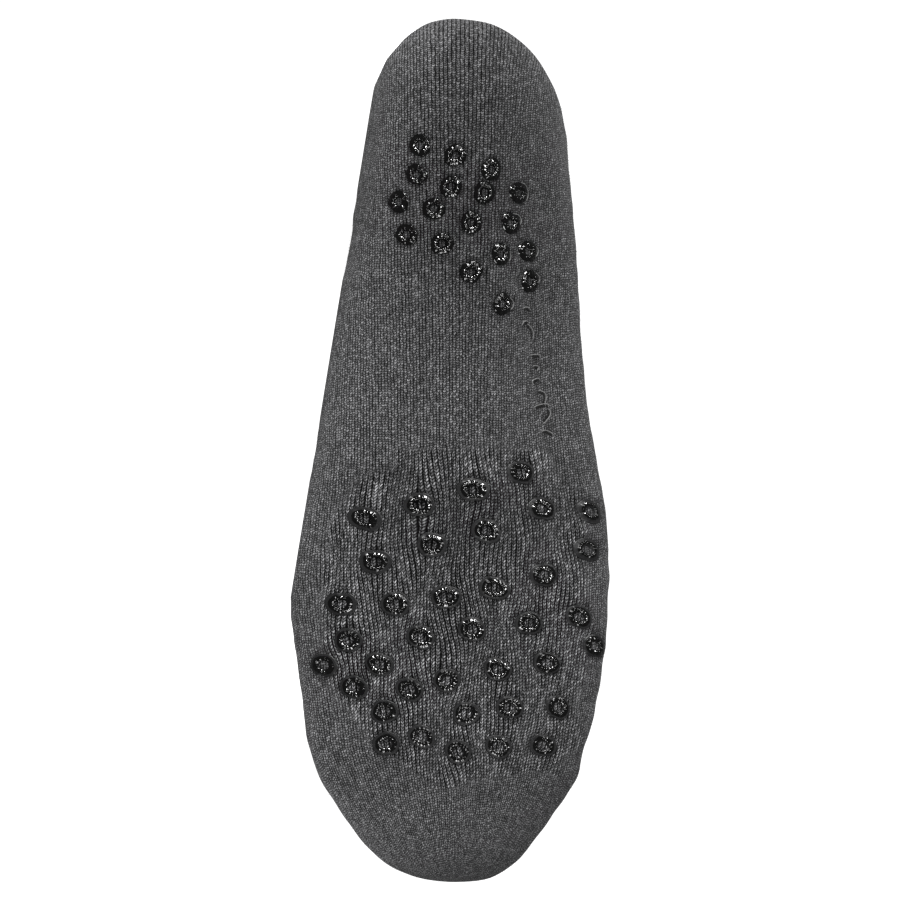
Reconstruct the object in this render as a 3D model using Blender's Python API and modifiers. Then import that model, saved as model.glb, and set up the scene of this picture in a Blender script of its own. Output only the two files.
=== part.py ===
"""A left slipper sock with silicone grip rings under its sole, lying on its outer side.

Metres, Z up. The sock is first worked out upright, as points of (along, across, up): along runs
from the back of the heel to the toes, across from the little toe's side to the big toe's side,
and up from the sole. lay_down() then turns it onto the floor: along becomes +X, the big toe's
side +Z, and the leg points to +Y, so that the sole faces -Y.
"""

import math
from collections import namedtuple

import bpy
import numpy as np
from mathutils import Vector
from mathutils.bvhtree import BVHTree

# Sizes of the knitted sock, outside
FOOT_LENGTH = 0.265
BALL_WIDTH = 0.0975
INSTEP_HEIGHT = 0.075
LEG_HEIGHT = 0.190
WALL = 0.0016
CUFF_HEIGHT = 0.028
CUFF_STEP = 0.0007
CUFF_STEP_LENGTH = 0.0012
FLAT_DEPTH = 0.0010  # how far the lying side is pressed flat by the floor

# Sizes of a grip ring
HEEL_RING_DIAMETER = 0.0068
BALL_RING_DIAMETER = 0.0081
RING_HOLE = 0.0026
RING_HEIGHT = 0.0012
SEAT_GAP = 0.0003

# How finely the knit and the rings are divided
AROUND = 28
SECTION_SPACING = 0.0105
RING_STEPS = 12

# A section runs from a point at the sole, heel or back of the leg to one on top of the foot or in
# front of the leg. along: share of FOOT_LENGTH. up: share of INSTEP_HEIGHT. outer and inner: half
# widths, share of BALL_WIDTH. outer_at and inner_at: how far from the sole to the top the widest
# place lies. outer_sole, inner_sole and top: how square the section is there, where 2 is an
# ellipse. arch: how far the inner edge of the sole is lifted, share of the section's height.
Section = namedtuple(
    "Section",
    "sole_along sole_up top_along top_up outer inner outer_at inner_at "
    "outer_sole inner_sole top arch",
)

FOOT = [
    # toe
    Section(1.0000, 0.190, 1.0000, 0.190, 0.000, 0.000, 0.50, 0.50, 2.0, 2.0, 2.0, 0.00),
    Section(0.9968, 0.135, 0.9968, 0.240, 0.100, 0.090, 0.50, 0.50, 2.0, 2.0, 2.0, 0.00),
    Section(0.9880, 0.098, 0.9880, 0.288, 0.173, 0.146, 0.50, 0.50, 2.1, 2.0, 2.0, 0.02),
    Section(0.9730, 0.067, 0.9730, 0.330, 0.240, 0.198, 0.49, 0.50, 2.2, 2.0, 2.0, 0.03),
    Section(0.9510, 0.045, 0.9510, 0.365, 0.298, 0.247, 0.48, 0.50, 2.3, 2.0, 2.0, 0.04),
    Section(0.9220, 0.030, 0.9220, 0.400, 0.356, 0.304, 0.46, 0.50, 2.4, 2.0, 2.0, 0.05),
    Section(0.8880, 0.018, 0.8880, 0.430, 0.414, 0.367, 0.45, 0.50, 2.5, 2.0, 2.0, 0.06),
    Section(0.8480, 0.008, 0.8480, 0.470, 0.460, 0.402, 0.44, 0.50, 2.6, 2.0, 2.0, 0.07),
    # ball
    Section(0.8000, 0.002, 0.8000, 0.515, 0.480, 0.438, 0.42, 0.50, 2.6, 2.0, 2.0, 0.09),
    Section(0.7450, 0.000, 0.7450, 0.562, 0.500, 0.464, 0.41, 0.50, 2.6, 2.0, 2.0, 0.10),
    Section(0.6900, 0.000, 0.6900, 0.612, 0.519, 0.477, 0.40, 0.50, 2.6, 2.0, 2.0, 0.10),
    Section(0.6350, 0.000, 0.6350, 0.668, 0.517, 0.480, 0.39, 0.50, 2.6, 2.0, 2.0, 0.10),
    Section(0.5800, 0.004, 0.5800, 0.730, 0.488, 0.474, 0.38, 0.50, 2.5, 2.0, 2.0, 0.11),
    # arch and instep
    Section(0.5250, 0.014, 0.5280, 0.800, 0.455, 0.450, 0.37, 0.50, 2.4, 2.0, 2.0, 0.14),
    Section(0.4700, 0.026, 0.4860, 0.875, 0.434, 0.427, 0.37, 0.49, 2.4, 2.0, 2.0, 0.16),
    Section(0.4150, 0.034, 0.4520, 0.950, 0.417, 0.410, 0.37, 0.49, 2.4, 2.0, 2.0, 0.17),
    Section(0.3600, 0.034, 0.4250, 1.025, 0.401, 0.400, 0.38, 0.48, 2.3, 2.0, 2.0, 0.17),
    Section(0.3050, 0.026, 0.4050, 1.100, 0.380, 0.392, 0.39, 0.48, 2.3, 2.0, 2.0, 0.16),
    # heel
    Section(0.2500, 0.014, 0.3910, 1.165, 0.357, 0.387, 0.41, 0.48, 2.3, 2.0, 2.0, 0.14),
    Section(0.1960, 0.004, 0.3815, 1.225, 0.337, 0.382, 0.43, 0.48, 2.3, 2.0, 2.0, 0.12),
    Section(0.1430, 0.000, 0.3745, 1.280, 0.326, 0.377, 0.45, 0.48, 2.3, 2.0, 2.0, 0.09),
    Section(0.0920, 0.012, 0.3695, 1.333, 0.315, 0.370, 0.46, 0.48, 2.2, 2.0, 2.0, 0.06),
    Section(0.0480, 0.055, 0.3660, 1.385, 0.305, 0.362, 0.47, 0.48, 2.2, 2.0, 2.0, 0.03),
    Section(0.0160, 0.145, 0.3635, 1.435, 0.301, 0.358, 0.48, 0.48, 2.2, 2.1, 2.0, 0.01),
    Section(0.0015, 0.295, 0.3620, 1.490, 0.299, 0.356, 0.48, 0.48, 2.2, 2.2, 2.0, 0.00),
    Section(0.0020, 0.480, 0.3615, 1.550, 0.300, 0.354, 0.48, 0.48, 2.1, 2.1, 2.0, 0.00),
    Section(0.0160, 0.690, 0.3620, 1.620, 0.301, 0.350, 0.49, 0.49, 2.1, 2.1, 2.0, 0.00),
    Section(0.0380, 0.920, 0.3640, 1.705, 0.295, 0.342, 0.50, 0.50, 2.0, 2.0, 2.0, 0.00),
    Section(0.0570, 1.170, 0.3670, 1.810, 0.290, 0.332, 0.50, 0.50, 2.0, 2.0, 2.0, 0.00),
]

# The leg's sections. back_up and front_up: share of the way from the last section of the foot to
# the cuff. clear: how far the leg stays off the floor that the lying foot rests on, and inner: its
# half width to the other side, both as shares of BALL_WIDTH.
Leg = namedtuple("Leg", "back_along back_up front_along front_up clear inner")
LEG = [
    Leg(0.0660, 0.34, 0.3700, 0.16, 0.032, 0.324),
    Leg(0.0670, 0.67, 0.3730, 0.52, 0.018, 0.326),
    Leg(0.0640, 1.00, 0.3760, 1.00, 0.004, 0.334),
]
# The cuff's own sections: share of CUFF_HEIGHT above its lower edge, and how far it stands out
# from the leg, share of CUFF_STEP.
Cuff = namedtuple("Cuff", "up out")
CUFF = [Cuff(0.30, 1.0), Cuff(0.65, 1.0), Cuff(0.94, 1.0), Cuff(1.00, 0.4)]

# Where the rings' middles lie in the photo, in its pixels, print row by print row. The photo looks
# straight at the sole with the heel at the top, so x gives across and y gives along.
PHOTO_HEEL_Y = 18
PHOTO_TOE_Y = 881
PHOTO_AXIS_X = 276
PHOTO_BALL_WIDTH = 316
HEEL_RINGS = [
    (240, 146), (275, 156), (311, 170),
    (237, 175), (271, 187), (304, 193), (338, 193),
    (219, 202), (254, 209), (291, 223), (330, 223),
    (227, 235), (262, 244), (320, 254), (347, 251),
    (291, 272), (349, 281), (322, 304),
]  # fmt: skip
BALL_RINGS = [
    (186, 518), (240, 504), (293, 489), (340, 472),
    (196, 561), (252, 544), (306, 530), (361, 508), (409, 511),
    (162, 603), (216, 603), (266, 596), (314, 587), (363, 574), (406, 549),
    (169, 639), (241, 636), (292, 628), (348, 622), (398, 616),
    (145, 664), (200, 663), (267, 679), (317, 668), (366, 662), (414, 645),
    (175, 686), (230, 688), (286, 712), (329, 706), (377, 706),
    (205, 710), (207, 742), (242, 735), (278, 750), (318, 745), (362, 744),
]  # fmt: skip

# A ring's outline from the hole over its crest to its outer foot, as shares of the way from the
# hole to the rim, and of RING_HEIGHT
RingPoint = namedtuple("RingPoint", "out up")
RING_PROFILE = [RingPoint(0.0, 0.0), RingPoint(0.30, 1.0), RingPoint(0.80, 0.9), RingPoint(1.0, 0.0)]

CHARCOAL = (0.075, 0.075, 0.078, 1.0)
BLACK = (0.006, 0.006, 0.007, 1.0)


def clear_scene():
    """Removes what the file holds when the script starts."""
    for thing in list(bpy.data.objects):
        bpy.data.objects.remove(thing, do_unlink=True)


def material(name, colour, roughness):
    """A plain Principled material."""
    made = bpy.data.materials.new(name)
    made.use_nodes = True
    shader = made.node_tree.nodes["Principled BSDF"]
    shader.inputs["Base Color"].default_value = colour
    shader.inputs["Roughness"].default_value = roughness
    shader.inputs["Metallic"].default_value = 0.0
    return made


def sized(section):
    """A row of FOOT with its shares turned into metres."""
    return section._replace(
        sole_along=section.sole_along * FOOT_LENGTH,
        sole_up=section.sole_up * INSTEP_HEIGHT,
        top_along=section.top_along * FOOT_LENGTH,
        top_up=section.top_up * INSTEP_HEIGHT,
        outer=section.outer * BALL_WIDTH,
        inner=section.inner * BALL_WIDTH,
    )


def widest(section):
    """Where along the foot a section is widest on its outer side."""
    return section.sole_along + section.outer_at * (section.top_along - section.sole_along)


def floor_line(foot):
    """(angle, height) of the line that touches the foot's outer side at the heel and at the ball.

    A point lies on it where along * sin(angle) + across * cos(angle) equals height.
    """
    sides = [(a, c) for section in between(foot) for a, c, _ in outline(section)]
    rear = [p for p in sides if p[0] < FOOT_LENGTH / 2]
    front = [p for p in sides if p[0] >= FOOT_LENGTH / 2]
    angle = 0.0
    for _ in range(8):
        (rear_up, rear_along), (front_up, front_along) = [
            min(turned(a, c, angle)[::-1] for a, c in group) for group in (rear, front)
        ]
        angle += math.atan2(rear_up - front_up, front_along - rear_along)
    return angle, min(turned(a, c, angle)[1] for a, c in sides)


def turned(along, across, angle):
    """A point of the upright foot, seen from above, turned by angle."""
    return (
        along * math.cos(angle) - across * math.sin(angle),
        along * math.sin(angle) + across * math.cos(angle),
    )


def leg_sections(foot, angle, height):
    """The leg's rows as sections, with the outer side led along the floor line."""
    last = foot[-1]
    cuff_up = LEG_HEIGHT - CUFF_HEIGHT
    made = []
    for row in LEG:
        section = last._replace(
            sole_along=row.back_along * FOOT_LENGTH,
            sole_up=last.sole_up + row.back_up * (cuff_up - last.sole_up),
            top_along=row.front_along * FOOT_LENGTH,
            top_up=last.top_up + row.front_up * (cuff_up - last.top_up),
            inner=row.inner * BALL_WIDTH,
        )
        reach = (widest(section) * math.sin(angle) - height) / math.cos(angle)
        made.append(section._replace(outer=reach - row.clear * BALL_WIDTH))
    return made


def between(rows):
    """Rows with more between those over SECTION_SPACING apart, on a smooth curve through all.

    Before the toe's tip the curve goes on as its mirror image, so that the tip is round.
    """
    second = rows[1]
    mirrored = second._replace(
        sole_up=second.top_up, top_up=second.sole_up, outer=-second.outer, inner=-second.inner
    )
    last = np.array(rows[-1])
    line = [np.array(mirrored)] + [np.array(r) for r in rows] + [2 * last - np.array(rows[-2])]
    made = []
    for a, b, c, d in zip(line, line[1:], line[2:], line[3:]):
        gap = math.hypot(c[0] - b[0], c[1] - b[1])
        steps = math.ceil(gap / SECTION_SPACING)
        for step in range(steps):
            t = step / steps
            curve = 2 * b + (c - a) * t + (2 * a - 5 * b + 4 * c - d) * t**2
            made.append(Section(*((curve + (3 * b - a - 3 * c + d) * t**3) / 2)))
    return made + [rows[-1]]


def smooth_step(x):
    """0 below 0, 1 above 1, and a smooth rise between."""
    x = min(max(x, 0.0), 1.0)
    return x * x * (3 - 2 * x)


def outline(section, out=0.0):
    """AROUND points (along, across, up), evenly spaced on each side, from the sole over the inner
    side, the top and the outer side. out widens the outline by that much all round."""
    fine = 24
    deep = Vector((section.top_along - section.sole_along, section.top_up - section.sole_up))
    span = max(deep.length, 1e-9)

    def side(half, at, sole):
        """One side's points as (across, share of the way from the sole to the top)."""
        lift = section.arch if half is section.inner else 0.0
        points = []
        for step in range(2 * fine + 1):
            turn = math.pi * step / (2 * fine)
            square = sole if step < fine else section.top
            across = abs(math.sin(turn)) ** (2 / square)
            rise = abs(math.cos(turn)) ** (2 / square)
            share = at * (1 - rise) if step < fine else at + (1 - at) * rise
            if step < fine:
                share += lift * smooth_step((across - 0.25) / 0.6) * rise
            points.append((across * (half + out), share * (1 + 2 * out / span) - out / span))
        return points

    def even(points):
        """AROUND / 2 + 1 of the points, evenly spaced by distance."""
        places = np.array([(c, share * span) for c, share in points])
        run = np.concatenate([[0], np.cumsum(np.linalg.norm(np.diff(places, axis=0), axis=1))])
        wanted = np.linspace(0, run[-1], AROUND // 2 + 1)
        return [(np.interp(w, run, places[:, 0]), np.interp(w, run, places[:, 1])) for w in wanted]

    inner = even(side(section.inner, section.inner_at, section.inner_sole))
    outer = even(side(section.outer, section.outer_at, section.outer_sole))
    ring = inner + [(-c, up) for c, up in reversed(outer[1:-1])]
    way = deep / span
    return [(section.sole_along + way.x * up, c, section.sole_up + way.y * up) for c, up in ring]


def sock_outlines(angle, height):
    """Every outline of the sock's outside, from the toe's tip to the edge of the cuff."""
    foot = [sized(row) for row in FOOT]
    leg = leg_sections(foot, angle, height)
    made = [outline(section) for section in between(foot + leg)]
    edge = leg[-1]
    levels = [Cuff(CUFF_STEP_LENGTH / CUFF_HEIGHT, 1.0)] + CUFF
    for level in levels:
        up = level.up * CUFF_HEIGHT
        raised = edge._replace(sole_up=edge.sole_up + up, top_up=edge.top_up + up)
        made.append(outline(raised, out=level.out * CUFF_STEP))
    return made


def lay_down(outlines, angle, height):
    """(the outlines as world points, the shift that put them there): outer side on the floor,
    pressed flat by FLAT_DEPTH, in the middle of X and Y with the rings under the sole."""
    laid = []
    for ring in outlines:
        flat = [(turned(a, c, angle), up) for a, c, up in ring]
        laid.append([Vector((x, up, z)) for (x, z), up in flat])
    low, high = bounds(p for ring in laid for p in ring)
    low.y -= SEAT_GAP + RING_HEIGHT
    shift = Vector(((low.x + high.x) / 2, (low.y + high.y) / 2, height + FLAT_DEPTH))
    laid = [[p - shift for p in ring] for ring in laid]
    for ring in laid:
        for point in ring:
            point.z = max(point.z, 0.0)
    return laid, shift


def bounds(points):
    """The lowest and the highest corner of the box round some points."""
    points = list(points)
    low = Vector([min(p[axis] for p in points) for axis in range(3)])
    high = Vector([max(p[axis] for p in points) for axis in range(3)])
    return low, high


def knit_mesh(outlines):
    """The sock's outside as one open surface: a tube through the outlines, closed at the tip."""
    tip = outlines[0][0]
    tube = outlines[1:]
    points = [tip] + [p for ring in tube for p in ring]
    faces = []
    for i in range(AROUND):
        j = (i + 1) % AROUND
        faces.append((0, 1 + j, 1 + i))
        for k in range(len(tube) - 1):
            start, end = 1 + k * AROUND, 1 + (k + 1) * AROUND
            faces.append((start + i, start + j, end + j, end + i))
    mesh = bpy.data.meshes.new("sock_knit")
    mesh.from_pydata([tuple(p) for p in points], [], faces)
    mesh.update()
    return mesh


def sock_knit(outlines, collection):
    """The knitted sock: its outside with a wall of WALL inside it, open at the cuff."""
    sock = bpy.data.objects.new("sock_knit", knit_mesh(outlines))
    collection.objects.link(sock)
    sock.data.materials.append(material("charcoal_knit", CHARCOAL, 0.95))
    wall = sock.modifiers.new("wall", "SOLIDIFY")
    wall.thickness = WALL
    wall.offset = -1.0
    wall.use_even_offset = True
    return sock


def turned_ring(diameter):
    """The points and faces of a flat-lying ring, turned from RING_PROFILE by a Screw modifier."""
    hole = RING_HOLE / 2
    width = diameter / 2 - hole
    places = [(hole + p.out * width, 0.0, p.up * RING_HEIGHT) for p in RING_PROFILE]
    edges = [(i, (i + 1) % len(places)) for i in range(len(places))]
    mesh = bpy.data.meshes.new("ring_profile")
    mesh.from_pydata(places, edges, [])
    profile = bpy.data.objects.new("ring_profile", mesh)
    bpy.context.scene.collection.objects.link(profile)
    screw = profile.modifiers.new("turn", "SCREW")
    screw.steps = RING_STEPS
    screw.render_steps = RING_STEPS
    screw.use_merge_vertices = True
    screw.merge_threshold = 0.00001
    turned = profile.evaluated_get(bpy.context.evaluated_depsgraph_get()).to_mesh()
    points = [v.co.copy() for v in turned.vertices]
    faces = [tuple(p.vertices) for p in turned.polygons]
    bpy.data.objects.remove(profile, do_unlink=True)
    return points, faces


def grip_ring(name, place, surface, template, rubber, collection):
    """A ring laid onto the knit under place, every point as far from the knit as on a flat one."""
    middle, out, _, _ = surface.ray_cast(place, Vector((0, 1, 0)))
    side = out.cross(Vector((1, 0, 0))).normalized()
    ahead = side.cross(out)
    start = 3 * RING_HEIGHT
    points, faces = template
    laid = []
    for point in points:
        above = middle + ahead * point.x + side * point.y
        hit = surface.ray_cast(above + out * start, -out, 3 * start)[0]
        laid.append((hit or above) + out * (SEAT_GAP + point.z))
    mesh = bpy.data.meshes.new(name)
    mesh.from_pydata([tuple(p) for p in laid], [], faces)
    mesh.update()
    ring = bpy.data.objects.new(name, mesh)
    ring.data.materials.append(rubber)
    collection.objects.link(ring)
    return ring


def under_sole(pixel, angle, shift):
    """The world point well below the sole where a ring lies in the photo."""
    x, y = pixel
    along = (y - PHOTO_HEEL_Y) / (PHOTO_TOE_Y - PHOTO_HEEL_Y) * FOOT_LENGTH
    across = (x - PHOTO_AXIS_X) / PHOTO_BALL_WIDTH * BALL_WIDTH
    ahead, side = turned(along, across, angle)
    return Vector((ahead, -INSTEP_HEIGHT, side)) - shift


def main():
    clear_scene()
    collection = bpy.data.collections.new("slipper_sock")
    bpy.context.scene.collection.children.link(collection)
    angle, height = floor_line([sized(row) for row in FOOT])
    outlines, shift = lay_down(sock_outlines(angle, height), angle, height)
    sock = sock_knit(outlines, collection)
    surface = BVHTree.FromPolygons(
        [v.co for v in sock.data.vertices], [tuple(p.vertices) for p in sock.data.polygons]
    )
    rubber = material("black_silicone", BLACK, 0.25)
    for zone, diameter, pixels in (
        ("heel", HEEL_RING_DIAMETER, HEEL_RINGS),
        ("ball", BALL_RING_DIAMETER, BALL_RINGS),
    ):
        template = turned_ring(diameter)
        for number, pixel in enumerate(pixels, 1):
            place = under_sole(pixel, angle, shift)
            name = f"grip_{zone}_{number:02d}"
            grip_ring(name, place, surface, template, rubber, collection)


main()
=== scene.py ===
"""The looks of the slipper sock: fine and coarse knit, silicone grip rings, floor, light, camera.

The knit is a dense surface through the same sections as the model's. As in the model, a point is
first worked out upright as (along, across, up): along runs from the heel to the toes, across from
the little toe's side to the big toe's side, and up from the sole. World metres come after that.
"""

import math
from collections import namedtuple

import bpy
import numpy as np
from mathutils import Matrix, Vector
from mathutils.bvhtree import BVHTree


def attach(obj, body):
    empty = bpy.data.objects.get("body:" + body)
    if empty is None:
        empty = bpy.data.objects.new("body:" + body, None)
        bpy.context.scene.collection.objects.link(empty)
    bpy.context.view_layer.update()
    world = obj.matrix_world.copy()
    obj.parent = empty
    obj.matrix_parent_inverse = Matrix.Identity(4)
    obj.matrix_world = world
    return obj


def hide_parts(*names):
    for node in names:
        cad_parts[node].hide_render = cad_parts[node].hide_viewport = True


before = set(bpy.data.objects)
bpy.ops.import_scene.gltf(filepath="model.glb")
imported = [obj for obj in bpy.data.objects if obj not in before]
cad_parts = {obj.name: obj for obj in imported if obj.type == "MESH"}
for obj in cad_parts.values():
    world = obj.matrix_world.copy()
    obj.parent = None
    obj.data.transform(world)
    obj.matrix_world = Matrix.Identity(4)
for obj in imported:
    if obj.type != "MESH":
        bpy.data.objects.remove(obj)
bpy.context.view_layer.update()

# Sizes of the knitted sock, outside, as in the model
FOOT_LENGTH = 0.265
BALL_WIDTH = 0.0975
INSTEP_HEIGHT = 0.075
LEG_HEIGHT = 0.190
WALL = 0.0016
CUFF_HEIGHT = 0.028
CUFF_STEP = 0.0007
CUFF_STEP_LENGTH = 0.0012
FLAT_DEPTH = 0.0010
HEEL_RING_DIAMETER = 0.0068
BALL_RING_DIAMETER = 0.0081
RING_HEIGHT = 0.0012
SEAT_GAP = 0.0003
MODEL_AROUND = 28
MODEL_SPACING = 0.0105

# How finely the knit is divided here
AROUND = 320
SPACING = 0.0011

Section = namedtuple(
    "Section",
    "sole_along sole_up top_along top_up outer inner outer_at inner_at "
    "outer_sole inner_sole top arch",
)

# What each share of a row of FOOT is a share of
SIZES = Section(*[FOOT_LENGTH, INSTEP_HEIGHT] * 2, BALL_WIDTH, BALL_WIDTH, *[1.0] * 6)
FOOT = [Section(*row) for row in (
    # toe
    (1.0000, 0.190, 1.0000, 0.190, 0.000, 0.000, 0.50, 0.50, 2.0, 2.0, 2.0, 0.00),
    (0.9968, 0.135, 0.9968, 0.240, 0.100, 0.090, 0.50, 0.50, 2.0, 2.0, 2.0, 0.00),
    (0.9880, 0.098, 0.9880, 0.288, 0.173, 0.146, 0.50, 0.50, 2.1, 2.0, 2.0, 0.02),
    (0.9730, 0.067, 0.9730, 0.330, 0.240, 0.198, 0.49, 0.50, 2.2, 2.0, 2.0, 0.03),
    (0.9510, 0.045, 0.9510, 0.365, 0.298, 0.247, 0.48, 0.50, 2.3, 2.0, 2.0, 0.04),
    (0.9220, 0.030, 0.9220, 0.400, 0.356, 0.304, 0.46, 0.50, 2.4, 2.0, 2.0, 0.05),
    (0.8880, 0.018, 0.8880, 0.430, 0.414, 0.367, 0.45, 0.50, 2.5, 2.0, 2.0, 0.06),
    (0.8480, 0.008, 0.8480, 0.470, 0.460, 0.402, 0.44, 0.50, 2.6, 2.0, 2.0, 0.07),
    # ball
    (0.8000, 0.002, 0.8000, 0.515, 0.480, 0.438, 0.42, 0.50, 2.6, 2.0, 2.0, 0.09),
    (0.7450, 0.000, 0.7450, 0.562, 0.500, 0.464, 0.41, 0.50, 2.6, 2.0, 2.0, 0.10),
    (0.6900, 0.000, 0.6900, 0.612, 0.519, 0.477, 0.40, 0.50, 2.6, 2.0, 2.0, 0.10),
    (0.6350, 0.000, 0.6350, 0.668, 0.517, 0.480, 0.39, 0.50, 2.6, 2.0, 2.0, 0.10),
    (0.5800, 0.004, 0.5800, 0.730, 0.488, 0.474, 0.38, 0.50, 2.5, 2.0, 2.0, 0.11),
    # arch and instep
    (0.5250, 0.014, 0.5280, 0.800, 0.455, 0.450, 0.37, 0.50, 2.4, 2.0, 2.0, 0.14),
    (0.4700, 0.026, 0.4860, 0.875, 0.434, 0.427, 0.37, 0.49, 2.4, 2.0, 2.0, 0.16),
    (0.4150, 0.034, 0.4520, 0.950, 0.417, 0.410, 0.37, 0.49, 2.4, 2.0, 2.0, 0.17),
    (0.3600, 0.034, 0.4250, 1.025, 0.401, 0.400, 0.38, 0.48, 2.3, 2.0, 2.0, 0.17),
    (0.3050, 0.026, 0.4050, 1.100, 0.380, 0.392, 0.39, 0.48, 2.3, 2.0, 2.0, 0.16),
    # heel
    (0.2500, 0.014, 0.3910, 1.165, 0.357, 0.387, 0.41, 0.48, 2.3, 2.0, 2.0, 0.14),
    (0.1960, 0.004, 0.3815, 1.225, 0.337, 0.382, 0.43, 0.48, 2.3, 2.0, 2.0, 0.12),
    (0.1430, 0.000, 0.3745, 1.280, 0.326, 0.377, 0.45, 0.48, 2.3, 2.0, 2.0, 0.09),
    (0.0920, 0.012, 0.3695, 1.333, 0.315, 0.370, 0.46, 0.48, 2.2, 2.0, 2.0, 0.06),
    (0.0480, 0.055, 0.3660, 1.385, 0.305, 0.362, 0.47, 0.48, 2.2, 2.0, 2.0, 0.03),
    (0.0160, 0.145, 0.3635, 1.435, 0.301, 0.358, 0.48, 0.48, 2.2, 2.1, 2.0, 0.01),
    (0.0015, 0.295, 0.3620, 1.490, 0.299, 0.356, 0.48, 0.48, 2.2, 2.2, 2.0, 0.00),
    (0.0020, 0.480, 0.3615, 1.550, 0.300, 0.354, 0.48, 0.48, 2.1, 2.1, 2.0, 0.00),
    (0.0160, 0.690, 0.3620, 1.620, 0.301, 0.350, 0.49, 0.49, 2.1, 2.1, 2.0, 0.00),
    (0.0380, 0.920, 0.3640, 1.705, 0.295, 0.342, 0.50, 0.50, 2.0, 2.0, 2.0, 0.00),
    (0.0570, 1.170, 0.3670, 1.810, 0.290, 0.332, 0.50, 0.50, 2.0, 2.0, 2.0, 0.00),
)]  # fmt: skip
Leg = namedtuple("Leg", "back_along back_up front_along front_up clear inner")
LEG = [
    Leg(0.0660, 0.34, 0.3700, 0.16, 0.032, 0.324),
    Leg(0.0670, 0.67, 0.3730, 0.52, 0.018, 0.326),
    Leg(0.0640, 1.00, 0.3760, 1.00, 0.004, 0.334),
]

# The photo looks straight at the sole with the heel at the top. Places under the sole are given in
# its pixels: x gives across and y gives along.
PHOTO_HEEL_Y = 18
PHOTO_TOE_Y = 881
PHOTO_AXIS_X = 276
PHOTO_BALL_WIDTH = 316
PHOTO_MIDDLE = (270, 449.5)
PIXEL = FOOT_LENGTH / (PHOTO_TOE_Y - PHOTO_HEEL_Y)
HEEL_RINGS = [
    (240, 146), (275, 156), (311, 170),
    (237, 175), (271, 187), (304, 193), (338, 193),
    (219, 202), (254, 209), (291, 223), (330, 223),
    (227, 235), (262, 244), (320, 254), (347, 251),
    (291, 272), (349, 281), (322, 304),
]  # fmt: skip
BALL_RINGS = [
    (186, 518), (240, 504), (293, 489), (340, 472),
    (196, 561), (252, 544), (306, 530), (361, 508), (409, 511),
    (162, 603), (216, 603), (266, 596), (314, 587), (363, 574), (406, 549),
    (169, 639), (241, 636), (292, 628), (348, 622), (398, 616),
    (145, 664), (200, 663), (267, 679), (317, 668), (366, 662), (414, 645),
    (175, 686), (230, 688), (286, 712), (329, 706), (377, 706),
    (205, 710), (207, 742), (242, 735), (278, 750), (318, 745), (362, 744),
]  # fmt: skip

# Stitches. Wales run along the sock and courses round it. The knit under the ball is stretched by
# the printed rings, and its wales are wide there, with deep grooves.
FINE_WALES = 240
WIDE_WALES = 176
COURSE = 0.00077
WIDE_COURSE = 0.00098
RIBS = 88
RIB_DEPTH = 0.00035
COURSE_START = 0.62  # share of the foot's length at which the courses run straight across
# The foot's courses meet the leg's on a line from the front of the ankle to the back of the heel,
# given in shares of the foot's length and the instep's height
ANKLE_FRONT = (0.377, 1.26)
HEEL_BACK = (0.004, 0.22)
# A stitch is a V. Its halves meet at the share lean of the wale's width, and centre fills the line
# between them. They rise by slant courses, and a course sinks by deep at its ends. jitter shakes
# the wales, sharp is how fast a wale's grey falls off in painted shade to the gap beside it, and
# reach how much that changes along the gap. Each half has its own grey: least and up to spread
# more, times gain, and darker in painted shade by the power ends towards the ends of a course.
Stitch = namedtuple("Stitch", "lean centre slant deep jitter sharp reach spread least gain ends")
FINE = Stitch(0.44, 0.23, 0.60, 0.82, 0.45, 2.9, 9.0, 1.2, 0.45, 3.29, 1.8)
WIDE = Stitch(0.34, 0.18, 1.00, 0.80, 0.30, 5.2, 18.0, 1.5, 0.45, 4.62, 2.6)
# Where the wide wales lie, in the photo: y, and left and right edge there
WIDE_PATCH = [
    (440, 300, 312), (456, 208, 366), (478, 176, 390), (505, 156, 404), (560, 136, 410),
    (620, 134, 414), (680, 148, 408), (730, 182, 402), (765, 205, 392), (785, 270, 320),
]  # fmt: skip
# Painted light and shade on the sole: middle and reach in the photo, and how much lighter or darker
Tone = namedtuple("Tone", "x y wide high gain")
PAINTED_LIGHT_AND_SHADE = [Tone(*row) for row in (
    (215, 472, 28, 10, -0.26), (175, 488, 26, 10, -0.20), (300, 452, 40, 8, -0.10),
    (385, 480, 9, 40, -0.16), (120, 510, 14, 24, 0.22), (285, 415, 110, 34, 0.08),
    (285, 515, 100, 45, -0.38), (290, 720, 110, 50, 0.10), (285, 590, 110, 70, -0.14),
    (270, 835, 110, 45, 0.24), (405, 600, 30, 90, 0.16), (290, 40, 70, 40, -0.16),
    (285, 190, 90, 110, -0.37), (385, 150, 22, 80, -0.10), (345, 120, 30, 30, -0.08),
    (275, 90, 80, 32, -0.12),
)]  # fmt: skip
# Painted light on the side of the knit that faces the floor
PAINTED_FLOOR_SIDE_LIGHT = 0.7  # how much lighter the knit is where it faces the floor
# The knit rises round each ring and is pressed in under it, and has painted shade along its rim
SEAT_RISE = 0.00022
SEAT_SINK = 0.00030
RIM_WIDE = 2.6
RIM_SHADE = 0.42
SWELL = 0.00012  # how uneven the knit is all over
# Painted shade on the whole inside
INSIDE_SHADE = 0.8  # brightness of the inside
# Soft troughs with low ridges beside them. Under the sole: from and to in the photo, and the half
# width in its pixels
SoleCrease = namedtuple("SoleCrease", "x0 y0 x1 y1 wide deep")
# Painted shade along the middle of each crease
CREASE_SHADE = 0.12  # how much darker it is along the middle
SOLE_CREASES = [SoleCrease(*row) for row in (
    (368, 438, 402, 524, 5, 0.00040), (228, 466, 150, 494, 6, 0.00035),
    (146, 500, 128, 560, 5, 0.00030), (352, 300, 364, 440, 5, 0.00018),
)]  # fmt: skip
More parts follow.
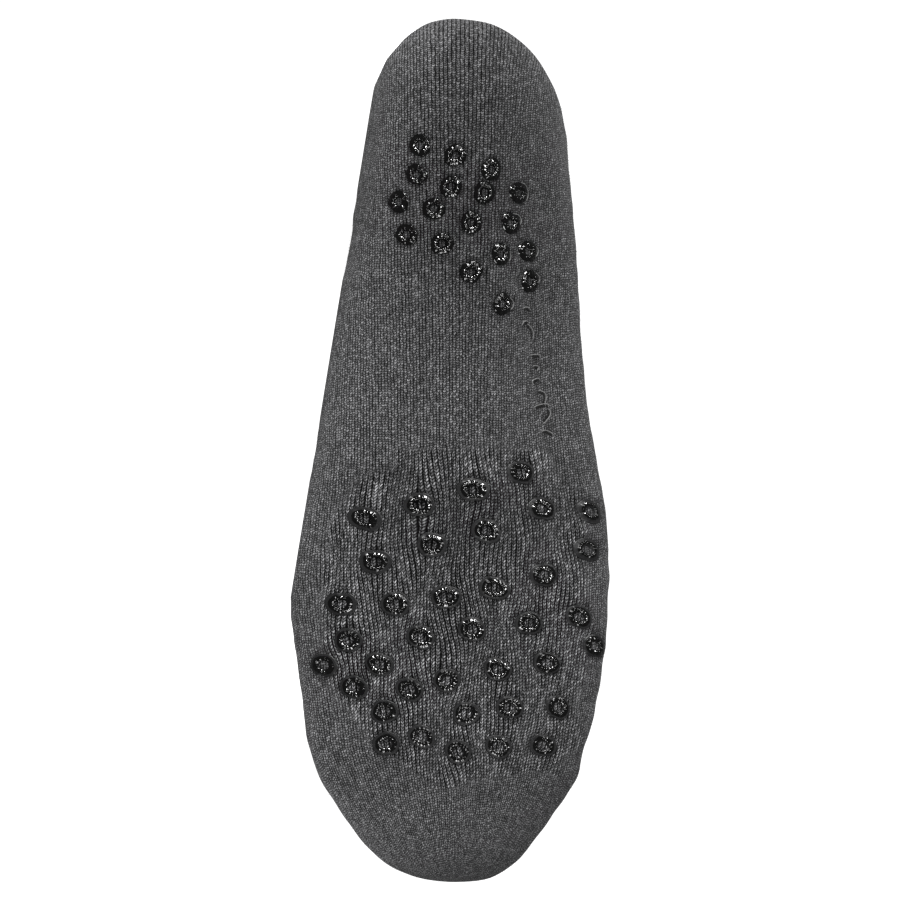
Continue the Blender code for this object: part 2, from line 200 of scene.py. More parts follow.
# On the sides and the top: from and to as shares of the foot's length and the instep's height
SideCrease = namedtuple("SideCrease", "along0 up0 along1 up1 wide deep")
SIDE_CREASES = [SideCrease(*row) for row in (
    (0.425, 1.03, 0.250, 0.90, 0.0042, 0.0017), (0.398, 1.20, 0.225, 1.12, 0.0040, 0.0019),
    (0.380, 1.40, 0.245, 1.36, 0.0036, 0.0014), (0.372, 1.64, 0.260, 1.62, 0.0040, 0.0011),
    (0.450, 0.88, 0.330, 0.72, 0.0040, 0.0010), (0.008, 0.86, 0.130, 0.98, 0.0036, 0.0013),
    (0.030, 1.12, 0.130, 1.20, 0.0036, 0.0011), (0.640, 0.62, 0.600, 0.40, 0.0050, 0.0010),
    (0.860, 0.42, 0.845, 0.24, 0.0036, 0.0008),
)]  # fmt: skip
# Thin raised lines in the arch: middle, radius and the part of the circle in degrees from the
# right towards the toes, all as in the photo
Mark = namedtuple("Mark", "x y radius start end")
# Painted shade behind each mark
MARK_SHADE = 0.22  # how much darker the knit is behind a mark, and how far in pixels
MARK_REACH = 7
MARKS = [Mark(*row) for row in (
    (346, 314, 6.5, -125, -45), (347, 327, 6.0, 200, 275), (338, 340, 17.0, -62, -5),
    (355, 361, 7.5, -130, -50), (355, 368, 3.0, -150, 60), (356, 382, 4.0, 150, 330),
    (356, 400, 10.0, -80, 35), (362, 412, 9.0, -150, -45), (361, 414, 8.5, -35, 80),
    (366, 437, 7.0, -130, -20),
)]  # fmt: skip
FAINT_MARKS = [Mark(*row) for row in (
    (137, 530, 8.0, 150, 330), (127, 570, 8.0, -100, 80), (397, 481, 7.0, -40, 90),
    (401, 531, 7.0, 180, 300),
)]  # fmt: skip
# Painted highlights: pale lines along the edges of rings on the side where the knit curves up
PAINTED_RIM_HIGHLIGHTS = [Mark(*row) for row in (
    (338, 193, 9.8, -75, 70), (330, 223, 10.2, -85, 50), (347, 251, 9.6, -85, 60),
    (349, 281, 9.6, -100, 50), (320, 254, 10.2, -70, 40), (322, 304, 10.0, -60, 50),
    (408, 511, 9.0, -110, 60), (406, 549, 9.0, -80, 90),
)]  # fmt: skip
# Where the toe is closed over the top as a share of the foot's length, and its reach as a share of
# the way round
TOE_SEAM_ALONG = 0.905
TOE_SEAM_REACH = (0.26, 0.74)
SEAM_HALF_WIDTH = 0.00075
SEAM_HEIGHT = 0.00015
SEAM_LUMPS = 0.00055
NAP_FIBRES = 16000
NAP_LENGTH = (0.0004, 0.0011)
NAP_HALF_WIDTH = 0.000022
# Bands of the outside, each from a row of its grid to the next band's first row
BANDS = [("knit_toe", 0), ("knit_ball_and_arch", 96), ("knit_heel", 196), ("knit_leg", 300)]
SOLE_ROWS = 200  # the grid's rows before the heel

# A grip ring from its hole to its edge: a round bead on a thin film. wider stretches it across the
# sole, black is how far the bead's gloss reaches, lump is the height of a drop at its edge, and
# lean turns it to face straight down from the sole.
RingShape = namedtuple(
    "RingShape", "hole bead_at bead_high inner_wide outer_wide film wider black lump lean"
)
HEEL_SHAPE = RingShape(0.00105, 0.00200, 0.00062, 0.00072, 0.00090, 0.00030, 0.02, 9.0, 0.0, 2.5)
BALL_SHAPE = RingShape(0.00138, 0.00235, 0.00064, 0.00074, 0.00095, 0.00028, 0.1, 1.5, 0.00055, 0.6)
LUMP_REACH = 0.00080  # half the drop's width
RING_ROOT = 0.0001  # how deep a ring's edges lie in the knit
RING_TURNS = 72
RING_STEPS = 24
# Waves round a ring: how many, and their height at its rim and on the bead's crest
Lobes = namedtuple("Lobes", "count rim crest")
LOBES = [Lobes(*row) for row in (
    (2, 0.050, 0.12), (3, 0.030, 0.12), (5, 0.015, 0.12), (9, 0.008, 0.16), (14, 0.0, 0.22),
)]  # fmt: skip

# The studio
Light = namedtuple("Light", "name place size power glossy")
LIGHTS = [
    Light("key", (-1.9, -0.95, 0.12), 0.34, 84.0, True),
    Light("upper", (-1.1, -1.7, 0.55), 0.7, 10.0, True),
    Light("low", (1.4, -1.5, 0.35), 0.60, 22.0, True),
    Light("second_key", (-1.0, -1.0, 1.5), 0.30, 14.0, True),
    Light("back", (-0.5, 1.7, 1.2), 0.6, 60.0, False),
    Light("above", (0.5, 0.1, 2.0), 1.0, 16.0, False),
]
LIT_POINT = (0.0, -0.05, 0.04)  # where they point
WORLD_LIGHT = 0.12
SHEET_GLOW = 1.02
SHEET_SIDE = 9.0
SHEET_BEND = 8.0
SHEET_TOP = 6.0
CAMERA_DISTANCE = 6.0
FRAME_PIXELS = 900
SENSOR = 36.0
LENS_TRIM = 1.004


def sized(section):
    """A row of FOOT with its shares turned into metres."""
    return Section(*[share * size for share, size in zip(section, SIZES)])


def widest(section):
    """Where along the foot a section is widest on its outer side."""
    return section.sole_along + section.outer_at * (section.top_along - section.sole_along)


def turned(along, across, angle):
    """A point of the upright foot, seen from above, turned by angle."""
    return (
        along * math.cos(angle) - across * math.sin(angle),
        along * math.sin(angle) + across * math.cos(angle),
    )


def floor_line(foot):
    """(angle, height) of the line that touches the model's outer side at the heel and the ball."""
    rings = [outline(section, MODEL_AROUND) for section in between(foot, MODEL_SPACING)]
    sides = [(a, c) for ring in rings for a, c, _ in ring]
    rear = [p for p in sides if p[0] < FOOT_LENGTH / 2]
    front = [p for p in sides if p[0] >= FOOT_LENGTH / 2]
    angle = 0.0
    for _ in range(8):
        (rear_up, rear_along), (front_up, front_along) = [
            min(turned(a, c, angle)[::-1] for a, c in group) for group in (rear, front)
        ]
        angle += math.atan2(rear_up - front_up, front_along - rear_along)
    return angle, min(turned(a, c, angle)[1] for a, c in sides)


def leg_sections(foot, angle, height):
    """The leg's rows as sections, with the outer side led along the floor line."""
    last = foot[-1]
    cuff_up = LEG_HEIGHT - CUFF_HEIGHT
    made = []
    for row in LEG:
        section = last._replace(
            sole_along=row.back_along * FOOT_LENGTH,
            sole_up=last.sole_up + row.back_up * (cuff_up - last.sole_up),
            top_along=row.front_along * FOOT_LENGTH,
            top_up=last.top_up + row.front_up * (cuff_up - last.top_up),
            inner=row.inner * BALL_WIDTH,
        )
        reach = (widest(section) * math.sin(angle) - height) / math.cos(angle)
        made.append(section._replace(outer=reach - row.clear * BALL_WIDTH))
    return made


def between(rows, spacing):
    """Rows with more between those over spacing apart, on a smooth curve through all."""
    second = rows[1]
    mirrored = second._replace(
        sole_up=second.top_up, top_up=second.sole_up, outer=-second.outer, inner=-second.inner
    )
    last = np.array(rows[-1])
    line = [np.array(mirrored)] + [np.array(r) for r in rows] + [2 * last - np.array(rows[-2])]
    made = []
    for a, b, c, d in zip(line, line[1:], line[2:], line[3:]):
        gap = math.hypot(c[0] - b[0], c[1] - b[1])
        steps = math.ceil(gap / spacing)
        for step in range(steps):
            t = step / steps
            curve = 2 * b + (c - a) * t + (2 * a - 5 * b + 4 * c - d) * t**2
            made.append(Section(*((curve + (3 * b - a - 3 * c + d) * t**3) / 2)))
    return made + [rows[-1]]


def smooth_step(x):
    """0 below 0, 1 above 1, and a smooth rise between."""
    x = np.clip(x, 0.0, 1.0)
    return x * x * (3 - 2 * x)


def outline(section, around, out=0.0):
    """Points (along, across, up) round a section, evenly spaced on each side, from the sole over
    the inner side, the top and the outer side. out widens the outline by that much all round."""
    fine = 24 if around == MODEL_AROUND else 90
    deep = np.array([section.top_along - section.sole_along, section.top_up - section.sole_up])
    span = max(np.linalg.norm(deep), 1e-9)
    turn = np.pi * np.arange(2 * fine + 1) / (2 * fine)
    lower = np.arange(2 * fine + 1) < fine

    def side(half, at, sole, arch):
        """One side's points as (across, up), evenly spaced by distance."""
        square = np.where(lower, sole, section.top)
        across = np.abs(np.sin(turn)) ** (2 / square)
        rise = np.abs(np.cos(turn)) ** (2 / square)
        share = np.where(lower, at * (1 - rise), at + (1 - at) * rise)
        share = share + np.where(lower, arch * smooth_step((across - 0.25) / 0.6) * rise, 0)
        wide = across * (half + out)
        high = (share * (1 + 2 * out / span) - out / span) * span
        run = np.concatenate([[0], np.cumsum(np.hypot(np.diff(wide), np.diff(high)))])
        wanted = np.linspace(0, run[-1], around // 2 + 1)
        return np.interp(wanted, run, wide), np.interp(wanted, run, high)

    inner_wide, inner_high = side(section.inner, section.inner_at, section.inner_sole, section.arch)
    outer_wide, outer_high = side(section.outer, section.outer_at, section.outer_sole, 0.0)
    wide = np.concatenate([inner_wide, -outer_wide[-2:0:-1]])
    high = np.concatenate([inner_high, outer_high[-2:0:-1]])
    way = deep / span
    along = section.sole_along + way[0] * high
    return np.stack([along, wide, section.sole_up + way[1] * high], axis=1)


def world_shift(angle, height):
    """What lay_down() of the model takes off, so that its box is centred over the origin."""
    foot = [sized(row) for row in FOOT]
    leg = leg_sections(foot, angle, height)
    rings = [outline(s, MODEL_AROUND) for s in between(foot + leg, MODEL_SPACING)]
    edge = leg[-1]
    for share, out in ((CUFF_STEP_LENGTH / CUFF_HEIGHT, 1.0), (0.94, 1.0), (1.0, 0.4)):
        up = share * CUFF_HEIGHT
        raised = edge._replace(sole_up=edge.sole_up + up, top_up=edge.top_up + up)
        rings.append(outline(raised, MODEL_AROUND, out * CUFF_STEP))
    points = np.concatenate(rings)
    along, _ = turned(points[:, 0], points[:, 1], angle)
    low_up = points[:, 2].min() - SEAT_GAP - RING_HEIGHT
    middle = (along.min() + along.max()) / 2, (low_up + points[:, 2].max()) / 2
    return np.array([*middle, height + FLAT_DEPTH])


def foot_place(pixel):
    """(along, across) under the sole of a place in the photo."""
    x, y = pixel
    return (y - PHOTO_HEEL_Y) * PIXEL, (x - PHOTO_AXIS_X) / PHOTO_BALL_WIDTH * BALL_WIDTH


ANGLE, HEIGHT = floor_line([sized(row) for row in FOOT])
SHIFT = world_shift(ANGLE, HEIGHT)


def to_world(points):
    """Upright points (along, across, up) as world points of the lying sock."""
    x, z = turned(points[..., 0], points[..., 1], ANGLE)
    return np.stack([x, points[..., 2], z], axis=-1) - SHIFT


def waves(x, y, seed, count, shortest, longest):
    """A soft random field of x and y, about -1 to 1: count sines in all directions, with lengths
    between shortest and longest."""
    random = np.random.default_rng(seed)
    total = np.zeros_like(x)
    for _ in range(count):
        turn = random.uniform(0, 2 * math.pi)
        length = random.uniform(shortest, longest)
        phase = random.uniform(0, 2 * math.pi)
        total += np.sin((x * math.cos(turn) + y * math.sin(turn)) * 2 * math.pi / length + phase)
    return total / math.sqrt(count)


def dense_knit():
    """The outside's grid of upright points: rows from the toe to the cuff, columns round."""
    foot = [sized(row) for row in FOOT]
    leg = leg_sections(foot, ANGLE, HEIGHT)
    return np.array([outline(s, AROUND) for s in between(foot + leg, SPACING)])


def photo_place(points):
    """The photo's (x, y) of upright points, as if seen through the sole."""
    x = PHOTO_AXIS_X + points[..., 1] / BALL_WIDTH * PHOTO_BALL_WIDTH
    return x, PHOTO_HEEL_Y + points[..., 0] / PIXEL


def grid_normals(points):
    """Outward normals of a grid whose columns close round it."""
    round_step = np.roll(points, -1, axis=1) - np.roll(points, 1, axis=1)
    normals = np.cross(round_step, np.gradient(points, axis=0))
    length = np.linalg.norm(normals, axis=2, keepdims=True)
    normals = normals / np.maximum(length, 1e-15)
    if length[0].max() < 1e-9:
        ahead = normals[1].mean(axis=0)
        normals[0] = ahead / np.linalg.norm(ahead)
    return normals


def wide_share(x, y):
    """1 where the wide wales lie in the photo, 0 outside, with a soft and uneven edge."""
    x = x + 7 * waves(x, y, 5, 8, 40, 110)
    y = y + 7 * waves(x, y, 6, 8, 40, 110)
    heights, left, right = zip(*WIDE_PATCH)
    left = np.interp(y, heights, left)
    right = np.interp(y, heights, right)
    inside = np.minimum(x - left, right - x)
    inside = np.minimum(inside, np.minimum(y - heights[0], heights[-1] - y))
    return smooth_step((inside + 4) / 16)


def rings_near(x, y):
    """For each ring under the ball or heel: (x offset, y offset, distance, radius), in pixels."""
    for rings, diameter in ((HEEL_RINGS, HEEL_RING_DIAMETER), (BALL_RINGS, BALL_RING_DIAMETER)):
        for ring_x, ring_y in rings:
            across, along = x - ring_x, y - ring_y
            yield across, along, np.hypot(across, along), diameter / 2 / PIXEL


def wale_push(x, y):
    """How far, in pixels, the wide wales are pushed aside by the rings, and by their own waves."""
    push = 2.8 * waves(x, y * 0.5, 11, 10, 40, 90)
    for across, along, _, radius in rings_near(x, y):
        near = np.exp(-((across / (1.4 * radius)) ** 2) - (along / (1.5 * radius)) ** 2)
        push = push + 0.30 * across * near
    return push


def away_from(x, y, x0, y0, x1, y1):
    """Distance from the line between two places, and a share that fades towards its ends."""
    way = np.array([x1 - x0, y1 - y0], float)
    share = ((x - x0) * way[0] + (y - y0) * way[1]) / (way @ way)
    held = np.clip(share, 0.0, 1.0)
    away = np.hypot(x - x0 - held * way[0], y - y0 - held * way[1])
    return away, smooth_step(np.minimum(held, 1 - held) * 5 + 0.35)


def trough(away, wide, deep):
    """A soft trough with a low ridge on each side."""
    ridge = 0.45 * np.exp(-(((away - 2.1 * wide) / wide) ** 2))
    return deep * (ridge - np.exp(-((away / wide) ** 2)))


def relief(grid, x, y, sole):
    """(how far the knit stands out in metres, its painted light and shade) by ring seats, creases,
    tones and marks."""
    out = SWELL * waves(x, y, 21, 14, 22, 70)
    shade = np.ones_like(x)
    for _, _, away, radius in rings_near(x, y):
        out = out + sole * SEAT_RISE * np.exp(-(((away - 1.45 * radius) / (0.35 * radius)) ** 2))
        out = out - sole * SEAT_SINK * np.exp(-((away / radius) ** 4))
        # painted shade along each ring's rim
        rim = np.exp(-(((away - radius) / RIM_WIDE) ** 2))
        shade = shade * (1 - RIM_SHADE * rim * sole)
    for crease in SOLE_CREASES:
        away, share = away_from(x, y, *crease[:4])
        out = out + sole * share * trough(away, crease.wide, crease.deep)
        # painted shade along each crease
        shade = shade * (1 - CREASE_SHADE * sole * share * np.exp(-((away / crease.wide) ** 2)))
    along, up = grid[..., 0], grid[..., 2]
    for crease in SIDE_CREASES:
        ends = np.array(crease[:4]) * ([FOOT_LENGTH, INSTEP_HEIGHT] * 2)
        away, share = away_from(along, up, *ends)
        out = out + (1 - sole) * share * trough(away, crease.wide, crease.deep)
    # painted light and shade on the sole
    for tone in PAINTED_LIGHT_AND_SHADE:
        near = np.exp(-(((x - tone.x) / tone.wide) ** 2) - ((y - tone.y) / tone.high) ** 2)
        shade = shade * (1 + tone.gain * near * sole)
    # painted shade behind each mark
    for mark in MARKS:
        turn = math.radians((mark.start + mark.end) / 2)
        middle = mark.x + mark.radius * math.cos(turn), mark.y + mark.radius * math.sin(turn)
        away = np.hypot(x - middle[0], y - middle[1])
        shade = shade * (1 - MARK_SHADE * sole * np.exp(-((away / MARK_REACH) ** 2)))
    return out, shade


def add_object(name, data):
    made = bpy.data.objects.new(name, data)
    bpy.context.scene.collection.objects.link(made)
    return made


def make_object(name, points, faces, material):
    mesh = bpy.data.meshes.new(name)
    mesh.from_pydata(np.asarray(points).tolist(), [], faces)
    mesh.polygons.foreach_set("use_smooth", [True] * len(mesh.polygons))
    mesh.materials.append(material)
    mesh.update()
    return add_object(name, mesh)


def closed_grid(rows, columns, first=0):
    """The quads of a grid whose columns close round it, from its row first on."""
    start = np.arange(first, rows - 1)[:, None] * columns
    column = np.arange(columns)
    after = (column + 1) % columns
    quads = [start + column, start + after, start + columns + after, start + columns + column]
    return np.stack(quads, axis=2).reshape(-1, 4)


def grid_piece(name, points, normals, numbers, wales, material, flip=False, tip=False):
    """A band of a grid as a mesh. wales are the (fine, wide) wale numbers at the left and the right
    edge of every column. With tip, the first row is one point and is welded."""
    rows, columns = points.shape[:2]
    left, right = wales
    first = columns - 1 if tip else 0
    index = np.maximum(closed_grid(rows, columns) - first, 0)
    edges = [values.reshape(-1, 2) for values in (left[:-1], right[:-1], right[1:], left[1:])]
    edges = np.stack(edges, axis=1)
    if flip:
        index, edges = index[:, ::-1], edges[:, ::-1]
    faces = index.tolist()
    loops = list(edges)
    if tip:
        spare = 2 if flip else 1
        for i in range(columns):
            faces[i] = [v for k, v in enumerate(faces[i]) if k != spare]
            loops[i] = np.delete(edges[i], spare, axis=0)
    flat = points.reshape(-1, 3)[first:]
    made = make_object(name, flat, faces, material)
    mesh = made.data
    layer = mesh.uv_layers.new(name="wales")
    layer.data.foreach_set("uv", np.concatenate(loops).astype(np.float32).ravel())
    for label, values in numbers.items():
        layer = mesh.attributes.new(label, "FLOAT", "POINT")
        layer.data.foreach_set("value", values.ravel()[first:].astype(np.float32))
    mesh.normals_split_custom_set_from_vertices(normals.reshape(-1, 3)[first:].tolist())
    return made


class Sums:
    """Math nodes of one node tree, written as calls."""

    def __init__(self, tree):
        self.tree = tree

    def __call__(self, operation, *values):
        made = self.tree.nodes.new("ShaderNodeMath")
        made.operation = operation
        for socket, value in zip(made.inputs, values):
            if isinstance(value, bpy.types.NodeSocket):
                self.tree.links.new(value, socket)
            else:
                socket.default_value = value
        return made.outputs[0]

    def mix(self, share, low, high):
        return self("MULTIPLY_ADD", share, self("SUBTRACT", high, low), low)

    def number(self, name):
        made = self.tree.nodes.new("ShaderNodeAttribute")
        made.attribute_name = name
        return made.outputs["Fac"]

    def noise(self, place, scale, detail=2.0, rough=0.5):
        made = self.tree.nodes.new("ShaderNodeTexNoise")
        made.inputs["Scale"].default_value = scale
        made.inputs["Detail"].default_value = detail
        made.inputs["Roughness"].default_value = rough
        self.tree.links.new(place, made.inputs["Vector"])
        return made.outputs["Fac"]

    def join(self, *values):
        made = self.tree.nodes.new("ShaderNodeCombineXYZ")
        for socket, value in zip(made.inputs, values):
            self.tree.links.new(value, socket)
        return made.outputs[0]

    def random(self, *values):
        made = self.tree.nodes.new("ShaderNodeTexWhiteNoise")
        self.tree.links.new(self.join(*values), made.inputs["Vector"])
        return made.outputs["Value"]

    def place(self):
        return self.tree.nodes.new("ShaderNodeTexCoord").outputs["Object"]


def new_material(name, colour, roughness, specular):
    made = bpy.data.materials.new(name)
    made.use_nodes = True
    shader = made.node_tree.nodes["Principled BSDF"]
    shader.inputs["Base Color"].default_value = (*colour, 1.0)
    shader.inputs["Roughness"].default_value = roughness
    shader.inputs["Specular IOR Level"].default_value = specular
    return made, made.node_tree, shader


def mix_colour(tree, shader, share, low, high, clamp=True):
    """Gives the shader a colour from low to high by share."""
    made = tree.nodes.new("ShaderNodeMix")
    made.data_type = "RGBA"
    made.clamp_factor = clamp
    made.inputs["A"].default_value = (*low, 1.0)
    made.inputs["B"].default_value = (*high, 1.0)
    tree.links.new(share, made.inputs["Factor"])
    tree.links.new(made.outputs["Result"], shader.inputs["Base Color"])


def add_bump(tree, shader, height, strength, distance):
    made = tree.nodes.new("ShaderNodeBump")
    made.inputs["Strength"].default_value = strength
    made.inputs["Distance"].default_value = distance
    tree.links.new(height, made.inputs["Height"])
    tree.links.new(made.outputs[0], shader.inputs["Normal"])


def stitches(sums, wale, course, knit):
    """(height, brightness) of plain knit by the running numbers of its wales and courses. The
    brightness holds painted shade in the gaps beside the wales and at the ends of the courses.
    """
    sharp = grooves(sums, wale, course, knit)
    number = sums("FLOOR", wale)
    across = sums("FRACT", wale)
    course = sums("ADD", sums.random(number), course)
    right = sums("DIVIDE", sums("SUBTRACT", across, knit.lean), 1 - knit.lean)
    left = sums("DIVIDE", sums("SUBTRACT", knit.lean, across), knit.lean)
    away = sums("MAXIMUM", left, right)
    level = sums("MULTIPLY_ADD", away, -knit.slant, course)
    along = sums("ABSOLUTE", sums("SINE", sums("MULTIPLY", level, math.pi)))
    along = sums("MULTIPLY_ADD", along, knit.deep, 1 - knit.deep)
    full = sums("MULTIPLY_ADD", away, 1 - knit.centre, knit.centre)
    full = sums("MULTIPLY", sums("MULTIPLY", full, sums("SUBTRACT", 1.0, full)), 4.0)
    half = sums("GREATER_THAN", right, left)
    chance = sums.random(number, sums("FLOOR", level), half)
    value = sums("MULTIPLY_ADD", sums("POWER", chance, 2.0), knit.spread, knit.least)
    # painted shade in the gaps beside each wale and towards the ends of each course
    value = sums("MULTIPLY", value, sums("MULTIPLY", sums("POWER", full, sharp), knit.gain))
    value = sums("MULTIPLY", value, sums("POWER", along, knit.ends))
    return sums("MULTIPLY", sums("POWER", full, 0.7), along), value


def grooves(sums, wale, course, knit):
    """How fast a wale's grey falls off in painted shade to the gap beside it, changing slowly
    along each gap.
    """
    gap = sums("FLOOR", sums("ADD", wale, 0.5))
    chance = sums.noise(sums.join(gap, sums("MULTIPLY", course, 0.07)), 1.3, 1.0)
    sharp = sums("MULTIPLY_ADD", sums("SUBTRACT", chance, 0.5), knit.reach, knit.sharp)
    return sums("MAXIMUM", sharp, 1.0)


def knit_material():
    """Charcoal melange knit: V stitches, fine or wide, in mixed grey yarn with a soft nap."""
    made, tree, shader = new_material("charcoal_knit", (0.075, 0.075, 0.078), 0.95, 0.03)
    shader.inputs["Sheen Weight"].default_value = 0.03
    shader.inputs["Sheen Roughness"].default_value = 0.45
    sums = Sums(tree)
    wales = tree.nodes.new("ShaderNodeUVMap")
    wales.uv_map = "wales"
    split = tree.nodes.new("ShaderNodeSeparateXYZ")
    tree.links.new(wales.outputs[0], split.inputs[0])
    place = sums.place()
    is_leg = sums("GREATER_THAN", sums.number("mitre"), 0.0)
    course = sums.mix(is_leg, sums.number("course"), sums.number("leg_course"))
    jitter = sums("SUBTRACT", sums.noise(place, 900.0, 1.0), 0.5)
    course = sums("ADD", jitter, course)
    looks = []
    for knit, wale, ratio in (
        (FINE, split.outputs[0], 1.0),
        (WIDE, split.outputs[1], COURSE / WIDE_COURSE),
    ):
        wale = sums("MULTIPLY_ADD", jitter, knit.jitter, wale)
        looks.append(stitches(sums, wale, sums("MULTIPLY", course, ratio), knit))
    share = sums.number("wide")
    height, value = [sums.mix(share, fine, wide) for fine, wide in zip(*looks)]
    fibre = sums.noise(place, 2600.0, 2.0, 0.7)
    mottle = sums.noise(place, 260.0, 3.0, 0.6)
    value = sums("MULTIPLY", value, sums("MULTIPLY", fibre, 2.0))
    value = sums("MULTIPLY", value, sums("MULTIPLY_ADD", mottle, 0.3, 0.85))
    # the shade number is painted light and shade, made in outside(), cuff() and inside()
    value = sums("MULTIPLY", value, sums.number("shade"))
    mix_colour(tree, shader, value, (0.001, 0.001, 0.001), (0.042, 0.042, 0.043), clamp=False)
    add_bump(tree, shader, sums("MULTIPLY_ADD", fibre, 0.5, height), 0.8, 0.00022)
    return made


def rubber_material(name, colour, roughness, specular, depth):
    """Black silicone with small bumps."""
    made, tree, shader = new_material(name, colour, roughness, specular)
    sums = Sums(tree)
    add_bump(tree, shader, sums.noise(sums.place(), 1100.0, 2.0, 0.6), 0.6, depth)
    return made


def yarn_material(name, low, high):
    """Single yarns: the nap, the toe's seam and the thin raised lines, from low to high grey. Some
    of the lines are painted shadow and some painted highlight.
    """
    made, tree, shader = new_material(name, (low, low, low), 0.95, 0.05)
    sums = Sums(tree)
    fibre = sums.noise(sums.place(), 2200.0, 2.0, 0.7)
    mix_colour(tree, shader, fibre, (low, low, low), (high, high, high))
    return made


def heel_turn(grid):
    """Above 0 on the leg's side of the line where the foot's courses meet the leg's."""
    sizes = np.array([FOOT_LENGTH, INSTEP_HEIGHT])
    start = np.array(ANKLE_FRONT) * sizes
    way = np.array(HEEL_BACK) * sizes - start
    way = way / np.linalg.norm(way)
    return (grid[..., 0] - start[0]) * way[1] - (grid[..., 2] - start[1]) * way[0]


def outside_wales(grid, x, y, sole, wide):
    """The (fine, wide) wale numbers at the left and the right edge of every column."""
    share = np.arange(AROUND) / AROUND
    share = np.where(share < 0.5, share, share - 1.0)
    push = wale_push(x, y) * sole * PIXEL
    around = np.linalg.norm(grid - np.roll(grid, -1, axis=1), axis=2).sum(1)[:, None]
    wide_wales = WIDE_WALES * (share - push / np.maximum(around, 0.05))
    fine_wales = FINE_WALES * (share - 0.4 * wide * push / np.maximum(around, 0.05))
    left = np.stack([fine_wales, wide_wales], axis=2)
    right = np.roll(left, -1, axis=1)
    half = AROUND // 2
    right[:, half - 1] = left[:, half] + np.array([FINE_WALES, WIDE_WALES])
    return left, right


def outside(knit):
    """The knit's outside in bands, and its grid of upright points, world points and normals."""
    grid = dense_knit()
    x, y = photo_place(grid)
    world = to_world(grid)
    normals = grid_normals(world)
    sole = smooth_step((-normals[..., 1] + 0.05) / 0.5)
    out, shade = relief(grid, x, y, sole)
    to_floor = normals[..., 0] * math.sin(ANGLE) - normals[..., 2] * math.cos(ANGLE)
    world = world + normals * out[..., None]
    world[..., 2] = np.maximum(world[..., 2], 0.0)
    normals = grid_normals(world)
    step = np.linalg.norm(np.diff(grid, axis=0), axis=2)
    from_toe = np.concatenate([np.zeros((1, AROUND)), np.cumsum(step, axis=0)])
    straight = np.argmin(np.abs(grid[:SOLE_ROWS, 0, 0] - COURSE_START * FOOT_LENGTH))
    wide = wide_share(x, y) * sole
    numbers = {
        "course": (from_toe - from_toe[straight]) / COURSE,
        "leg_course": (from_toe[-1] - from_toe) / COURSE,
        "wide": wide,
        "mitre": heel_turn(grid),
        # painted shade, and painted light where the knit faces the floor
        "shade": shade * (1 + PAINTED_FLOOR_SIDE_LIGHT * np.maximum(to_floor, 0.0)),
    }
    left, right = outside_wales(grid, x, y, sole, wide)
    ends = [first for _, first in BANDS[1:]] + [len(grid) - 1]
    pieces = []
    for (name, first), last in zip(BANDS, ends):
        band = slice(first, last + 1)
        part = {label: values[band] for label, values in numbers.items()}
        wales = left[band], right[band]
        tip = first == 0
        pieces.append(grid_piece(name, world[band], normals[band], part, wales, knit, tip=tip))
    return pieces, grid, world, normals


def plain_numbers(course, shade):
    """The numbers of knit that has one kind of course and of wale."""
    none = np.zeros_like(course)
    return {"course": course, "leg_course": course, "wide": none, "mitre": none, "shade": shade}


def plain_wales(edges, rows):
    """The left and right wale numbers of every column, from those at all its edges."""
    whole = np.broadcast_to(edges[None, :, None], (rows, len(edges), 2))
    return whole[:, :-1], whole[:, 1:]


def lip_path():
    """(share of the cuff's height, depth below its outside) up its outside, over its lip and down
    its inside."""
    radius = (WALL + CUFF_STEP) / 2
    top = 1 - radius / CUFF_HEIGHT
    path = [(share * top, 0.0) for share in np.linspace(0, 1, 34)]
    for turn in np.linspace(0, math.pi, 8)[1:-1]:
        path.append((top + math.sin(turn) * radius / CUFF_HEIGHT, radius * (1 - math.cos(turn))))
    return path + [(share * top, 2 * radius) for share in np.linspace(1, -0.08, 26)]


def cuff(knit):
    """The ribbed cuff: one rib for two wales, turned over at the lip, plain knit again inside."""
    columns = RIBS * 8
    edge = leg_sections([sized(row) for row in FOOT], ANGLE, HEIGHT)[-1]
    heights, depths = np.array(lip_path()).T
    flat = outline(edge, columns)
    lifted = np.array([flat + [0.0, 0.0, level * CUFF_HEIGHT] for level in heights])
    around = np.roll(flat, -1, axis=0) - np.roll(flat, 1, axis=0)
    out = np.stack([around[:, 1], -around[:, 0], np.zeros(columns)], axis=1)
    out /= np.linalg.norm(out, axis=1, keepdims=True)
    share = np.arange(columns) / columns
    rib = np.cos(2 * math.pi * RIBS * share)
    raised = np.where(depths > WALL / 2, 1.0, smooth_step(heights * CUFF_HEIGHT / CUFF_STEP_LENGTH))
    ribbed = smooth_step(heights * 12) * (1 - 0.5 * smooth_step((heights - 0.93) / 0.07))
    offset = (CUFF_STEP * raised - depths)[:, None] + RIB_DEPTH * ribbed[:, None] * rib[None, :]
    points = to_world(lifted + out[None] * offset[..., None])
    points[..., 2] = np.maximum(points[..., 2], 0.5 * depths[:, None])
    normals = grid_normals(points)
    side = np.where(depths < WALL / 2, 1.0, -1.0)
    # painted shade in the grooves between the ribs, outside and inside
    shade = 1 - 0.55 * ribbed[:, None] * (1 - side[:, None] * rib[None, :]) / 2
    steps = np.hypot(np.diff(heights) * CUFF_HEIGHT, np.diff(depths))
    run = np.concatenate([[0], np.cumsum(steps)])
    course = np.repeat(-run[:, None] / COURSE, columns, axis=1)
    wales = plain_wales(np.arange(columns + 1) / columns * 2 * RIBS + 0.5, len(heights))
    return grid_piece("knit_cuff", points, normals, plain_numbers(course, shade), wales, knit)


